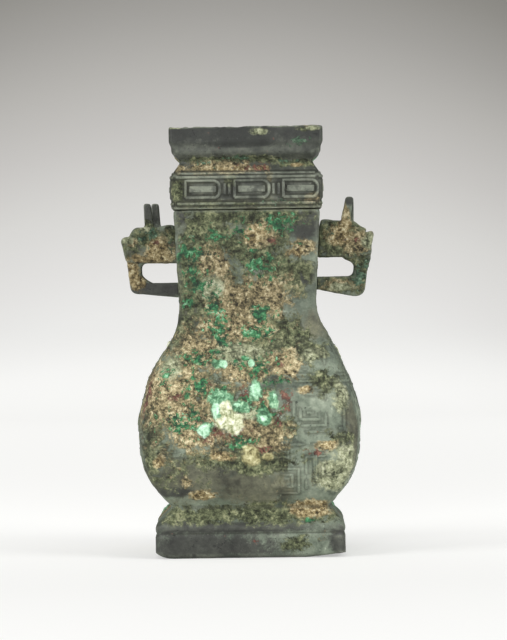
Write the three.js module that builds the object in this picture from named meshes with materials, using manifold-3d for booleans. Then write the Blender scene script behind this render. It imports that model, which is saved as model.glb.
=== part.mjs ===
// Square ritual wine jar of cast bronze: a lidded vessel of rounded-square plan with a
// narrow neck, a swelling belly, a hollow ring foot and two animal-head loop handles.
// Millimetres, +Z up. The origin is the middle of the underside of the foot.
// The front and back faces look along -Y and +Y, and the handles stand on -X and +X.

import * as THREE from 'three';
import * as BufferGeometryUtils from 'three/addons/utils/BufferGeometryUtils.js';
import Module from 'manifold-3d';

const wasm = await Module();
wasm.setup();

// Plan of the jar at each level: half width in X, half depth in Y, corner radius, and
// how far the middle of each face swells beyond its ends.
const FOOT_PLAN = { halfX: 88.2, halfY: 70, corner: 9, swell: 0 };
const NOTCH_PLAN = { halfX: 72.4, halfY: 57.5, corner: 8, swell: 0.5 };
const BELLY_PLAN = { halfX: 104.6, halfY: 83, corner: 18, swell: 4 };
const NECK_PLAN = { halfX: 63.6, halfY: 50.5, corner: 5, swell: 0 };
const MOUTH_PLAN = { halfX: 68.3, halfY: 54, corner: 5, swell: 0 };
const BAND_PLAN = { halfX: 70, halfY: 55.7, corner: 7, swell: 0 };
const WAIST_PLAN = { halfX: 61, halfY: 48, corner: 4, swell: 0 };
const CROWN_PLAN = { halfX: 71.5, halfY: 57, corner: 4, swell: 0 };

// How full the curves between those levels are
const SHOULDER_FULLNESS = 1.13;
const BOWL_FULLNESS = 3.3;
const FOOT_SLOPE_CURVE = 1.1;

// Heights of the vessel
const FOOT_BAND_HEIGHT = 30;
const FOOT_HEIGHT = 46.5;
const BELLY_ABOVE_FOOT = 80;
const NECK_ABOVE_BELLY = 111;
const MOUTH_ABOVE_NECK = 85.5;
const FOOT_EDGE_ROUND = 2;

// Heights of the lid
const BAND_HEIGHT = 31.2;
const LID_SHOULDER_HEIGHT = 13;
const CROWN_FLARE_HEIGHT = 17.6;
const CROWN_RIM_HEIGHT = 14.8;
const PLUG_DEPTH = 14;

// Metal thicknesses
const VESSEL_WALL = 4;
const VESSEL_FLOOR = 5;
const FOOT_WALL = 6;
const LID_WALL = 4;
const LID_DECK = 5;
const PLUG_WALL = 3.5;

// Clearances
const LID_SEAT_GAP = 0.4;
const PLUG_GAP = 0.7;
const FITTED_GAP = 0.3;

// Handles
const RIGHT_HANDLE_BELOW_MOUTH = 11.5;
const LEFT_HANDLE_BELOW_MOUTH = 15.5;
const HANDLE_HEIGHT = 66;
const HANDLE_REACH = 51.5;
const HEAD_WIDTH = 34;
const LOOP_WIDTH = 24;
const HEAD_HEIGHT = 33;
const BROW_REACH = 43;
const BROW_ROUND = 8;
const BROW_LEAN = 1;
const SNOUT_DROP = 12;
const SNOUT_ROUND = 4;
const LOOP_BAR = 13.5;
const LOOP_POST = 14;
const LOOP_INNER_ROUND = 6;
const LOOP_OUTER_ROUND = 8;
const LOOP_LEAN = 9;
const LOOP_SETBACK = 4.5;
const LOOP_ROOT = 8;
const OPENING_BELOW_HEAD = 1;
const OPENING_LEAN = 1;
const CRISP_ROUND = 1;
const HORN_HEIGHT = 22.5;
const HORN_ROOT = 5;
const HORN_BASE_WIDTH = 9;
const HORN_TIP_WIDTH = 7;
const HORN_TIP_ROUND = 2.5;
const HORN_THICKNESS = 7;
const HORN_SPACING = 22;
const HORN_LEAN = 1.5;
const HORN_REACH = 19;

// The lugs cast on the neck that hold each handle, and the clay core in its head
const LUG_REACH = 9;
const LUG_WIDTH = 12;
const LUG_HEIGHT = 7;
const LUG_ROOT = 2;
const CORE_WIDTH = 16;
const CORE_HEIGHT = 12;
const CORE_LENGTH = 26;
const CORE_ABOVE_LUG = 4;

// The raised lines cast on the belly and on the band of the lid
const RELIEF_HEIGHT = 0.9;
const RELIEF_ROOT = 1;
const RELIEF_WIDTH = 2.2;
const RELIEF_PITCH = 5.8;

// The squared spirals of the belly. Each starts at a share of the half width of its side
// and a share of the height from the foot to the neck, and then has so many strokes. The
// way is 1 where the first stroke runs away from the middle of the side.
const SPIRALS = [
  { across: 0.51, up: 0.46, strokes: 8, way: 1 },
  { across: 0.32, up: 0.13, strokes: 6, way: -1 },
  { across: 0.7, up: 0.19, strokes: 4, way: 1 },
  { across: 0.56, up: 0.73, strokes: 5, way: -1 },
  { across: 0.17, up: 0.72, strokes: 4, way: 1 },
];

// The cells round the band of the lid, which are frames with a bar in them, the upright
// dashes between two cells, and the line over them
const CELL_WIDTH = 34;
const CELL_HEIGHT = 18;
const CELL_ABOVE_SEAT = 9.5;
const CELL_ROUND = 6;
const CELL_BAR_WIDTH = 25;
const CELL_BAR_HEIGHT = 6;
const CELL_PITCH = 45.5;
const CELL_SHIFT = 5;
const DASH_HEIGHT = 12;
const DASH_SPACING = 4.5;
const BORDER_BELOW_TOP = 1.7;

// The sharpest corner that the casting has, and how near two points are one point
const SHARPEST_CORNER = 1;
const SAME_POINT = 1e-4;

// How finely round things are cut into flat facets
const CORNER_STEPS = 6;
const FACE_STEPS = 4;
const PROFILE_STEPS = 12;
const INSIDE_STEPS = 8;
const SLOPE_STEPS = 6;
const ROUND_STEPS = 5;

// Levels worked out from the heights
const BELLY_Z = FOOT_HEIGHT + BELLY_ABOVE_FOOT;
const NECK_Z = BELLY_Z + NECK_ABOVE_BELLY;
const MOUTH_Z = NECK_Z + MOUTH_ABOVE_NECK;
const SEAT_Z = MOUTH_Z + LID_SEAT_GAP;
const BAND_TOP_Z = SEAT_Z + BAND_HEIGHT;
const WAIST_Z = BAND_TOP_Z + LID_SHOULDER_HEIGHT;
const CROWN_Z = WAIST_Z + CROWN_FLARE_HEIGHT;
const RIM_Z = CROWN_Z + CROWN_RIM_HEIGHT;

// The two sides of the jar, with the level of the top of the handle's head on each
const SIDES = [
  { side: 'right', sign: 1, headTop: MOUTH_Z - RIGHT_HANDLE_BELOW_MOUTH },
  { side: 'left', sign: -1, headTop: MOUTH_Z - LEFT_HANDLE_BELOW_MOUTH },
];

const bronze = (colour, roughness) =>
  new THREE.MeshStandardMaterial({ color: colour, roughness, metalness: 0.6 });
const vesselBronze = bronze(0x59584a, 0.7);
const lidBronze = bronze(0x4a4c45, 0.55);
const handleBronze = bronze(0x5d5a48, 0.75);
const firedClay = new THREE.MeshStandardMaterial({ color: 0x8a6f57, roughness: 1, metalness: 0 });

// A length that reaches right through the jar, whichever way it runs
const THROUGH = 4 * BELLY_PLAN.halfX;

// Profile shapes: each gives how far the plan has changed after a share of the height
const smooth = (share) => share * share * (3 - 2 * share);
const shoulder = (share) => Math.pow(smooth(share), SHOULDER_FULLNESS);
const bowl = (share) => Math.pow(share, BOWL_FULLNESS);
const footSlope = (share) => Math.pow(share, FOOT_SLOPE_CURVE);
const turnedOver = (shape) => (share) => 1 - shape(1 - share);

const mix = (from, to, share) => from + (to - from) * share;

function mixPlans(from, to, share) {
  return {
    halfX: mix(from.halfX, to.halfX, share),
    halfY: mix(from.halfY, to.halfY, share),
    corner: mix(from.corner, to.corner, share),
    swell: mix(from.swell, to.swell, share),
  };
}

function shrink(plan, by) {
  const corner = Math.max(plan.corner - by, SHARPEST_CORNER);
  return { halfX: plan.halfX - by, halfY: plan.halfY - by, corner, swell: plan.swell };
}

// One level of the jar: a rounded rectangle whose faces swell, seen from above.
function ring(plan, z) {
  const points = [];
  const endX = plan.halfX - plan.swell;
  const endY = plan.halfY - plan.swell;
  const flatX = endX - plan.corner;
  const flatY = endY - plan.corner;
  const swellAt = (share) => plan.swell * (1 - share * share);
  const signs = [[1, 1], [-1, 1], [-1, -1], [1, -1]];
  signs.forEach(([signX, signY], quarter) => {
    for (let step = 0; step <= CORNER_STEPS; step += 1) {
      const angle = (Math.PI / 2) * (quarter + step / CORNER_STEPS);
      const x = signX * flatX + plan.corner * Math.cos(angle);
      const y = signY * flatY + plan.corner * Math.sin(angle);
      points.push(new THREE.Vector3(x, y, z));
    }
    const acrossX = quarter % 2 === 0;
    for (let step = 1; step < FACE_STEPS; step += 1) {
      const along = 1 - (2 * step) / FACE_STEPS;
      if (acrossX) {
        const y = signY * (endY + swellAt(along));
        points.push(new THREE.Vector3(signX * flatX * along, y, z));
      } else {
        const x = signX * (endX + swellAt(along));
        points.push(new THREE.Vector3(x, signY * flatY * along, z));
      }
    }
  });
  return points;
}

const level = (plan, z) => ({ plan, z });

// The levels between two plans, without the first one.
function stretch(fromPlan, fromZ, toPlan, toZ, shape, steps, inset = 0) {
  const levels = [];
  for (let step = 1; step <= steps; step += 1) {
    const share = step / steps;
    const plan = mixPlans(fromPlan, toPlan, shape(share));
    levels.push(level(shrink(plan, inset), mix(fromZ, toZ, share)));
  }
  return levels;
}

// A closed body through all the levels, from the middle of the first to the middle of the last.
function loft(levels) {
  const rings = levels.map(({ plan, z }) => ring(plan, z));
  const count = rings[0].length;
  const positions = [];
  rings.forEach((points) => points.forEach((point) => positions.push(...point.toArray())));
  const firstPole = positions.length / 3;
  positions.push(0, 0, levels[0].z);
  const lastPole = firstPole + 1;
  positions.push(0, 0, levels[levels.length - 1].z);
  const faces = [];
  for (let lower = 0; lower + 1 < rings.length; lower += 1) {
    for (let index = 0; index < count; index += 1) {
      const next = (index + 1) % count;
      const low = lower * count;
      const high = low + count;
      faces.push(low + index, low + next, high + next, low + index, high + next, high + index);
    }
  }
  const last = (rings.length - 1) * count;
  for (let index = 0; index < count; index += 1) {
    const next = (index + 1) % count;
    faces.push(firstPole, next, index);
    faces.push(lastPole, last + index, last + next);
  }
  const geometry = new THREE.BufferGeometry();
  geometry.setAttribute('position', new THREE.Float32BufferAttribute(positions, 3));
  geometry.setIndex(faces);
  return geometry;
}

function toSolid(geometry) {
  const bare = geometry.clone();
  bare.deleteAttribute('normal');
  bare.deleteAttribute('uv');
  const merged = BufferGeometryUtils.mergeVertices(bare, SAME_POINT);
  const mesh = new wasm.Mesh({
    numProp: 3,
    vertProperties: new Float32Array(merged.attributes.position.array),
    triVerts: new Uint32Array(merged.index.array),
  });
  return new wasm.Manifold(mesh);
}

function toGeometry(solid) {
  const mesh = solid.getMesh();
  const geometry = new THREE.BufferGeometry();
  geometry.setAttribute('position', new THREE.BufferAttribute(mesh.vertProperties, 3));
  geometry.setIndex(new THREE.BufferAttribute(mesh.triVerts, 1));
  return geometry;
}

function box(lowX, highX, width, lowZ, highZ) {
  const geometry = new THREE.BoxGeometry(highX - lowX, width, highZ - lowZ);
  geometry.translate((lowX + highX) / 2, 0, (lowZ + highZ) / 2);
  return toSolid(geometry);
}

// The outside of the neck at a height between its narrowest level and the mouth.
function neckPlanAt(z) {
  const share = THREE.MathUtils.clamp((z - NECK_Z) / MOUTH_ABOVE_NECK, 0, 1);
  return mixPlans(NECK_PLAN, MOUTH_PLAN, share);
}

const neckHalfX = (z) => neckPlanAt(z).halfX;

// What stands on the right of the jar, moved to the side that it belongs on.
const onSide = (solid, sign) => (sign > 0 ? solid : solid.mirror([1, 0, 0]));

// The middle levels of the two lugs of a handle, one behind its head and one behind its bar.
const headLugZ = (headTop) => headTop - HEAD_HEIGHT + LUG_HEIGHT;
const barLugZ = (headTop) => headTop - HANDLE_HEIGHT + LOOP_BAR / 2;

function lug(middleZ, gap) {
  const wallX = neckHalfX(middleZ);
  const halfHeight = LUG_HEIGHT / 2 + gap;
  const width = LUG_WIDTH + 2 * gap;
  return box(wallX - LUG_ROOT, wallX + LUG_REACH + gap, width, middleZ - halfHeight, middleZ + halfHeight);
}

// What the raised lines are cut from: a skin that stands out from the levels by the height
// of the lines, and starts inside the metal.
function skin(levelsWithInset) {
  const outside = toSolid(loft(levelsWithInset(-RELIEF_HEIGHT)));
  const inside = toSolid(loft(levelsWithInset(RELIEF_ROOT)));
  return outside.subtract(inside);
}

// A stroke right through the jar from front to back, seen from the front.
function stroke([fromX, fromZ], [toX, toZ]) {
  const half = RELIEF_WIDTH / 2;
  const lowX = Math.min(fromX, toX) - half;
  const highX = Math.max(fromX, toX) + half;
  const lowZ = Math.min(fromZ, toZ) - half;
  const highZ = Math.max(fromZ, toZ) + half;
  return box(lowX, highX, THROUGH, lowZ, highZ);
}

// A spiral of straight strokes, from its middle outwards.
function squaredSpiral(startX, startZ, strokes, way) {
  const parts = [];
  let here = [startX, startZ];
  for (let index = 0; index < strokes; index += 1) {
    const length = (Math.floor(index / 2) + 1) * RELIEF_PITCH * (index % 4 < 2 ? 1 : -1);
    const next = index % 2 === 0 ? [here[0] + way * length, here[1]] : [here[0], here[1] + length];
    parts.push(stroke(here, next));
    here = next;
  }
  return parts;
}

// The spirals of a side of the given half width, and their mirror images.
function bellyStencil(halfWidth) {
  const half = wasm.Manifold.union(SPIRALS.flatMap(({ across, up, strokes, way }) =>
    squaredSpiral(across * halfWidth, mix(FOOT_HEIGHT, NECK_Z, up), strokes, way)));
  return half.add(half.mirror([1, 0, 0]));
}

function bellyLevels(inset) {
  return [
    level(shrink(NOTCH_PLAN, inset), FOOT_HEIGHT),
    ...stretch(NOTCH_PLAN, FOOT_HEIGHT, BELLY_PLAN, BELLY_Z, turnedOver(bowl), PROFILE_STEPS, inset),
    ...stretch(BELLY_PLAN, BELLY_Z, NECK_PLAN, NECK_Z, shoulder, PROFILE_STEPS, inset),
  ];
}

// Cuts the skin with the stencils of the broad sides and of the narrow ones.
function relief(skinSolid, broadStencil, narrowStencil) {
  const broad = skinSolid.intersect(broadStencil);
  const narrow = skinSolid.intersect(narrowStencil.rotate([0, 0, 90]));
  return broad.add(narrow);
}

function vesselBody() {
  const floorZ = FOOT_HEIGHT + VESSEL_FLOOR;
  const insideFoot = shrink(FOOT_PLAN, FOOT_WALL);
  const insideNotch = shrink(NOTCH_PLAN, FOOT_WALL);
  const footEdge = shrink(FOOT_PLAN, FOOT_EDGE_ROUND);
  const levels = [
    level(insideNotch, FOOT_HEIGHT),
    level(insideFoot, FOOT_BAND_HEIGHT),
    level(insideFoot, 0),
    level(footEdge, 0),
    level(FOOT_PLAN, FOOT_EDGE_ROUND),
    level(FOOT_PLAN, FOOT_BAND_HEIGHT),
    ...stretch(FOOT_PLAN, FOOT_BAND_HEIGHT, NOTCH_PLAN, FOOT_HEIGHT, footSlope, SLOPE_STEPS),
    ...stretch(NOTCH_PLAN, FOOT_HEIGHT, BELLY_PLAN, BELLY_Z, turnedOver(bowl), PROFILE_STEPS),
    ...stretch(BELLY_PLAN, BELLY_Z, NECK_PLAN, NECK_Z, shoulder, PROFILE_STEPS),
    level(MOUTH_PLAN, MOUTH_Z),
    level(shrink(MOUTH_PLAN, VESSEL_WALL), MOUTH_Z),
    level(shrink(NECK_PLAN, VESSEL_WALL), NECK_Z),
    ...stretch(NECK_PLAN, NECK_Z, BELLY_PLAN, BELLY_Z, turnedOver(shoulder), INSIDE_STEPS, VESSEL_WALL),
    ...stretch(BELLY_PLAN, BELLY_Z, NOTCH_PLAN, floorZ, bowl, INSIDE_STEPS, VESSEL_WALL),
  ];
  let solid = toSolid(loft(levels));
  SIDES.forEach(({ sign, headTop }) => {
    solid = solid.add(onSide(lug(headLugZ(headTop), 0), sign));
    solid = solid.add(onSide(lug(barLugZ(headTop), 0), sign));
  });
  const lines = relief(skin(bellyLevels), bellyStencil(BELLY_PLAN.halfX), bellyStencil(BELLY_PLAN.halfY));
  return toGeometry(solid.add(lines));
}

function lid() {
  const deckTop = WAIST_Z + LID_DECK / 2;
  const deckBottom = deckTop - LID_DECK;
  const insideCrown = shrink(CROWN_PLAN, LID_WALL);
  const insideWaist = shrink(WAIST_PLAN, LID_WALL);
  const plugBottom = MOUTH_Z - PLUG_DEPTH;
  const plug = shrink(neckPlanAt(plugBottom), VESSEL_WALL + PLUG_GAP);
  const insidePlug = shrink(plug, PLUG_WALL);
  const solid = toSolid(loft([
    level(insideWaist, deckTop),
    level(insideCrown, CROWN_Z),
    level(insideCrown, RIM_Z),
    level(CROWN_PLAN, RIM_Z),
    level(CROWN_PLAN, CROWN_Z),
    level(WAIST_PLAN, WAIST_Z),
    level(BAND_PLAN, BAND_TOP_Z),
    level(BAND_PLAN, SEAT_Z),
    level(plug, SEAT_Z),
    level(plug, plugBottom),
    level(insidePlug, plugBottom),
    level(insidePlug, SEAT_Z),
    level(insideWaist, deckBottom),
  ].reverse()));
  const bandLevels = (inset) => [SEAT_Z, BAND_TOP_Z].map((z) => level(shrink(BAND_PLAN, inset), z));
  return toGeometry(solid.add(relief(skin(bandLevels), broadCells(), narrowCells())));
}

// Rounds the corners of an outline: each corner holds its point and its radius.
function roundedPath(corners, path) {
  const count = corners.length;
  corners.forEach(([x, z, radius], index) => {
    const here = new THREE.Vector2(x, z);
    const before = new THREE.Vector2(...corners[(index + count - 1) % count]);
    const after = new THREE.Vector2(...corners[(index + 1) % count]);
    const start = here.clone().add(before.sub(here).setLength(radius));
    const end = here.clone().add(after.sub(here).setLength(radius));
    if (index === 0) path.moveTo(start.x, start.y);
    else path.lineTo(start.x, start.y);
    if (radius > 0) path.quadraticCurveTo(here.x, here.y, end.x, end.y);
  });
  path.closePath();
  return path;
}

// A flat slab of the given outline in X and Z, of the given width along Y.
function slab(shape, width) {
  const geometry = new THREE.ExtrudeGeometry(shape, {
    depth: width,
    bevelEnabled: false,
    curveSegments: ROUND_STEPS,
  });
  geometry.translate(0, 0, -width / 2);
  geometry.rotateX(Math.PI / 2);
  return toSolid(geometry);
}

// A frame with a square left end and a rounded right one, and the bar in it.
function cell(middleX) {
  const low = SEAT_Z + CELL_ABOVE_SEAT;
  const frame = (inset) => {
    const left = middleX - CELL_WIDTH / 2 + inset;
    const right = middleX + CELL_WIDTH / 2 - inset;
    return slab(roundedPath([
      [left, low + inset, 0],
      [right, low + inset, CELL_ROUND - inset],
      [right, low + CELL_HEIGHT - inset, CELL_ROUND - inset],
      [left, low + CELL_HEIGHT - inset, 0],
    ], new THREE.Shape()), THROUGH);
  };
  const halfBar = CELL_BAR_WIDTH / 2;
  const barLow = low + (CELL_HEIGHT - CELL_BAR_HEIGHT) / 2;
  const bar = box(middleX - halfBar, middleX + halfBar, THROUGH, barLow, barLow + CELL_BAR_HEIGHT);
  return frame(0).subtract(frame(RELIEF_WIDTH)).add(bar);
}

function dashes(middleX) {
  const low = SEAT_Z + CELL_ABOVE_SEAT + (CELL_HEIGHT - DASH_HEIGHT) / 2;
  const dash = (x) => stroke([x, low], [x, low + DASH_HEIGHT]);
  return [dash(middleX - DASH_SPACING / 2), dash(middleX + DASH_SPACING / 2)];
}

function border(halfWidth) {
  const z = BAND_TOP_Z - BORDER_BELOW_TOP;
  const end = halfWidth - BAND_PLAN.corner;
  return stroke([-end, z], [end, z]);
}

// Three cells follow each other across a broad side, a little off its middle.
function broadCells() {
  const cells = [-1, 0, 1].map((place) => cell(CELL_SHIFT + place * CELL_PITCH));
  const left = dashes(CELL_SHIFT - CELL_PITCH / 2);
  const right = dashes(CELL_SHIFT + CELL_PITCH / 2);
  return wasm.Manifold.union([...cells, ...left, ...right, border(BAND_PLAN.halfX)]);
}

// The two cells across a narrow side are mirror images.
function narrowCells() {
  const left = cell(-CELL_PITCH / 2);
  return wasm.Manifold.union([left, left.mirror([1, 0, 0]), ...dashes(0), border(BAND_PLAN.halfY)]);
}

// A handle with everything on it, as it stands on the right, with the top of its head at
// the given level.
function handle(top) {
  const bottom = top - HANDLE_HEIGHT;
  const root = neckHalfX(bottom) - LUG_ROOT;
  const wall = neckHalfX(top);
  const headBottom = top - HEAD_HEIGHT;
  const brow = wall + BROW_REACH;
  const snout = wall + HANDLE_REACH;
  const head = slab(roundedPath([
    [root, top, 0],
    [brow, top, BROW_ROUND],
    [brow + BROW_LEAN, top - SNOUT_DROP, CRISP_ROUND],
    [snout, top - SNOUT_DROP, SNOUT_ROUND],
    [snout - LOOP_LEAN / 2, headBottom, SNOUT_ROUND],
    [root, headBottom, 0],
  ], new THREE.Shape()), HEAD_WIDTH);
  const outline = roundedPath([
    [root, headBottom + LOOP_ROOT, 0],
    [snout - LOOP_SETBACK, headBottom + LOOP_ROOT, CRISP_ROUND],
    [snout - LOOP_LEAN, bottom, LOOP_OUTER_ROUND],
    [root, bottom, 0],
  ], new THREE.Shape());
  const post = snout - LOOP_LEAN / 2 - LOOP_POST;
  const openingTop = headBottom - OPENING_BELOW_HEAD;
  const opening = roundedPath([
    [root - LOOP_BAR, openingTop, 0],
    [post, openingTop, LOOP_INNER_ROUND],
    [post - OPENING_LEAN, bottom + LOOP_BAR, LOOP_INNER_ROUND],
    [root - LOOP_BAR, bottom + LOOP_BAR, 0],
  ], new THREE.Shape());
  const gap = slab(opening, 2 * HEAD_WIDTH);
  let solid = head.add(slab(outline, LOOP_WIDTH)).subtract(gap);
  const hornX = wall + HORN_REACH;
  const hornTop = top + HORN_HEIGHT;
  const hornTip = hornX + HORN_LEAN + (HORN_BASE_WIDTH - HORN_TIP_WIDTH) / 2;
  const horn = slab(roundedPath([
    [hornX, top - HORN_ROOT, 0],
    [hornX + HORN_BASE_WIDTH, top - HORN_ROOT, 0],
    [hornTip + HORN_TIP_WIDTH, hornTop, HORN_TIP_ROUND],
    [hornTip, hornTop, HORN_TIP_ROUND],
  ], new THREE.Shape()), HORN_THICKNESS);
  [-1, 1].forEach((side) => {
    solid = solid.add(horn.translate([0, (side * HORN_SPACING) / 2, 0]));
  });
  return solid.subtract(neckBlock(top)).subtract(corePocket(top, FITTED_GAP));
}

// Everything that the handle must keep clear of: the neck with its lugs.
function neckBlock(headTop) {
  const low = level(shrink(NECK_PLAN, -FITTED_GAP), NECK_Z);
  const high = level(shrink(MOUTH_PLAN, -FITTED_GAP), MOUTH_Z);
  const neck = toSolid(loft([low, high]));
  return neck.add(lug(headLugZ(headTop), FITTED_GAP)).add(lug(barLugZ(headTop), FITTED_GAP));
}

// The clay core in the head. With a gap round it, it is the hollow that the core lies in,
// which opens towards the neck.
function corePocket(headTop, gap) {
  const lowZ = headLugZ(headTop) + LUG_HEIGHT / 2 + CORE_ABOVE_LUG - gap;
  const highZ = lowZ + CORE_HEIGHT + 2 * gap;
  const wall = Math.max(neckHalfX(lowZ), neckHalfX(highZ));
  const startX = gap > 0 ? wall - LUG_ROOT : wall + FITTED_GAP;
  const endX = wall + CORE_LENGTH + gap;
  return box(startX, endX, CORE_WIDTH + 2 * gap, lowZ, highZ);
}

function named(name, geometry, material) {
  const mesh = new THREE.Mesh(geometry, material);
  mesh.name = name;
  return mesh;
}

const jar = new THREE.Group();
jar.add(named('vessel_body', vesselBody(), vesselBronze));
jar.add(named('lid', lid(), lidBronze));

SIDES.forEach(({ side, sign, headTop }) => {
  const head = toGeometry(onSide(handle(headTop), sign));
  const core = toGeometry(onSide(corePocket(headTop, 0), sign));
  jar.add(named(`${side}_handle`, head, handleBronze.clone()));
  jar.add(named(`${side}_handle_clay_core`, core, firedClay.clone()));
});

export default jar;
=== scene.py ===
"""Looks of a lidded square wine jar of corroded cast bronze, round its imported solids."""

import math
import random
from typing import NamedTuple

import bpy
import numpy as np
from mathutils import Matrix, Vector, kdtree, noise


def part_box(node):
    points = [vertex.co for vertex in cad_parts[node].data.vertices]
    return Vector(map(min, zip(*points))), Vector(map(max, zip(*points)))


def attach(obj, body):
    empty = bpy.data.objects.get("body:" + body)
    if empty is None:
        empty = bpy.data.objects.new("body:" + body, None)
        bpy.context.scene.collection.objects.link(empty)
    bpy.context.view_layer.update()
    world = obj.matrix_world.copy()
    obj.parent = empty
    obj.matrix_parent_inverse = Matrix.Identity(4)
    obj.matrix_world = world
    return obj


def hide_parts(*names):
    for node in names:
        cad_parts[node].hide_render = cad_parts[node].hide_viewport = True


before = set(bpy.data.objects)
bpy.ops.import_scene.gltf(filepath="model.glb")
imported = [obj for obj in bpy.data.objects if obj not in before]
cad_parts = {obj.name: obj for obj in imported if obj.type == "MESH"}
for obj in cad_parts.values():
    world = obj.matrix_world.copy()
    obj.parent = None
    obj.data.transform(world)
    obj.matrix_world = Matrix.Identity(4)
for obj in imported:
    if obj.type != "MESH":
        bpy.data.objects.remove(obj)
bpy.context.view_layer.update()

MM = 0.001

# How fine the worked castings are, what share of the vessel's inner faces is kept, and how near
# each other two points of a solid lie that are really one
BODY_GRAIN = 1.85 * MM
INSIDE_THINNING = 0.64
LID_GRAIN = 1.35 * MM
HANDLE_GRAIN = 0.95 * MM
MERGE_DISTANCE = 0.01 * MM

# The four upright sides of the jar: how far each is turned from the front
SIDES = {"front": 0, "right": 90, "back": 180, "left": 270}


class Spot(NamedTuple):
    """A patch on one side of the jar: its middle, half width and half height in millimetres."""

    across: float
    up: float
    half_width: float
    half_height: float
    side: str = "front"


# Where each finish lies
BODY_SPOTS = {
    "dusk": [
        Spot(-52, 76, 54, 22), Spot(-2, 70, 42, 20), Spot(-38, 305, 34, 14), Spot(-55, 235, 12, 50),
        Spot(10, 318, 56, 6), Spot(30, 262, 24, 22), Spot(62, 215, 14, 20), Spot(96, 110, 10, 50),
    ],
    "dark": [
        Spot(54, 305, 15, 15), Spot(40, 209, 13, 15), Spot(-52, 11, 82, 15), Spot(84, 12, 9, 16),
        Spot(52, 262, 9, 14), Spot(-24, 28, 76, 6), Spot(-70, 62, 20, 5), Spot(18, 275, 12, 5),
        Spot(-60, 318, 6, 10), Spot(56, 318, 12, 4), Spot(-62, 33, 20, 6),
    ],
    "olive_crust": [
        Spot(-38, 295, 34, 22), Spot(-40, 248, 30, 40), Spot(0, 314, 60, 10), Spot(30, 264, 30, 26),
        Spot(-52, 150, 58, 62), Spot(-20, 232, 40, 50), Spot(2, 128, 30, 36), Spot(2, 292, 30, 30),
        Spot(-50, 268, 20, 50), Spot(24, 214, 24, 16), Spot(42, 12, 13, 7),
        Spot(-6, 40, 80, 8), Spot(-5, 200, 60, 26), Spot(52, 188, 30, 14), Spot(70, 165, 20, 12),
        Spot(0, 92, 60, 12), Spot(-90, 118, 18, 50), Spot(20, 120, 26, 14), Spot(82, 110, 14, 10),
        Spot(-60, 205, 16, 40), Spot(4, 82, 20, 6),
    ],
    "tan_crust": [
        Spot(-64, 150, 40, 44), Spot(-40, 190, 28, 28), Spot(-14, 238, 28, 22), Spot(-32, 272, 18, 16),
        Spot(8, 301, 15, 12), Spot(55, 287, 12, 9), Spot(10, 242, 30, 24), Spot(-14, 214, 34, 18),
        Spot(-4, 172, 34, 16), Spot(34, 178, 20, 13), Spot(-48, 116, 34, 16), Spot(2, 118, 32, 13),
        Spot(20, 104, 18, 8), Spot(16, 146, 14, 14), Spot(-83, 92, 5, 7), Spot(-58, 71, 6, 6),
    ],
    "gold_crust": [
        Spot(-24, 95, 12, 4.5), Spot(-43, 58, 14, 5), Spot(-84, 90, 5, 6), Spot(71, 105, 11, 5),
        Spot(56, 45, 17, 8), Spot(52, 156, 8, 4), Spot(45, 283, 10, 5), Spot(4, 300, 12, 8),
    ],
    "pale_crust": [
        Spot(78, 78, 20, 18), Spot(88, 98, 8, 10), Spot(62, 186, 14, 7), Spot(-34, 250, 12, 12),
        Spot(-10, 190, 22, 10), Spot(-72, 176, 10, 14), Spot(86, 150, 8, 14), Spot(2, 136, 6, 7),
    ],
    "malachite": [
        Spot(-5, 304, 11, 13), Spot(32, 310, 24, 11), Spot(-50, 282, 20, 17), Spot(-47, 254, 15, 30),
        Spot(-26, 212, 16, 30), Spot(24, 146, 9, 16), Spot(-30, 152, 18, 10), Spot(-11, 146, 14, 9),
        Spot(16, 134, 14, 12), Spot(-58, 128, 30, 16), Spot(-76, 168, 10, 18), Spot(-6, 109, 18, 12),
        Spot(-46, 160, 20, 12), Spot(7, 206, 24, 10), Spot(8, 178, 26, 11), Spot(22, 164, 14, 12),
        Spot(-32, 232, 12, 20), Spot(14, 224, 14, 12), Spot(-28, 298, 16, 9), Spot(55, 34, 6, 3),
        Spot(-44, 186, 22, 12), Spot(12, 270, 18, 18),
    ],
    "cuprite": [
        Spot(-46, 129, 9, 7), Spot(-32, 120, 13, 10), Spot(-13, 115, 18, 7), Spot(32, 148, 7, 10),
        Spot(-2, 150, 10, 9), Spot(27, 131, 5, 9), Spot(-36, 162, 7, 5), Spot(10, 100, 9, 5),
        Spot(10, 151, 5, 9), Spot(36, 148, 5, 7), Spot(29, 180, 5, 5), Spot(23, 293, 6, 3),
        Spot(5, 15, 4, 1.2), Spot(-97, 150, 7, 40), Spot(58, 98, 8, 3), Spot(-70, 150, 8, 4),
    ],
    "verdigris": [
        Spot(-27, 148, 12, 7), Spot(-9, 141, 8, 5.5), Spot(13, 130, 6.5, 7.5), Spot(-26, 137, 9, 9),
        Spot(23, 147, 6.5, 10), Spot(7, 156, 7, 10), Spot(-40, 121, 7, 6),
        Spot(-28, 180, 7, 5),
    ],
    "mint": [
        Spot(-41, 119, 6, 6.4), Spot(7, 157, 5.4, 7.6), Spot(-23, 180, 3.6, 4), Spot(2, 180, 3, 4),
        Spot(-11, 143, 3, 2), Spot(14, 131, 2.6, 2.6), Spot(-30, 138, 3.6, 7),
        Spot(24, 150, 2.2, 5),
    ],
    "cream": [
        Spot(-17, 126, 11.5, 9.5), Spot(-22, 137, 6, 7),
    ],
    "ochre": [
        Spot(0, 95, 8.2, 8.6), Spot(18, 95, 4.4, 3.4),
    ],
}
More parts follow.
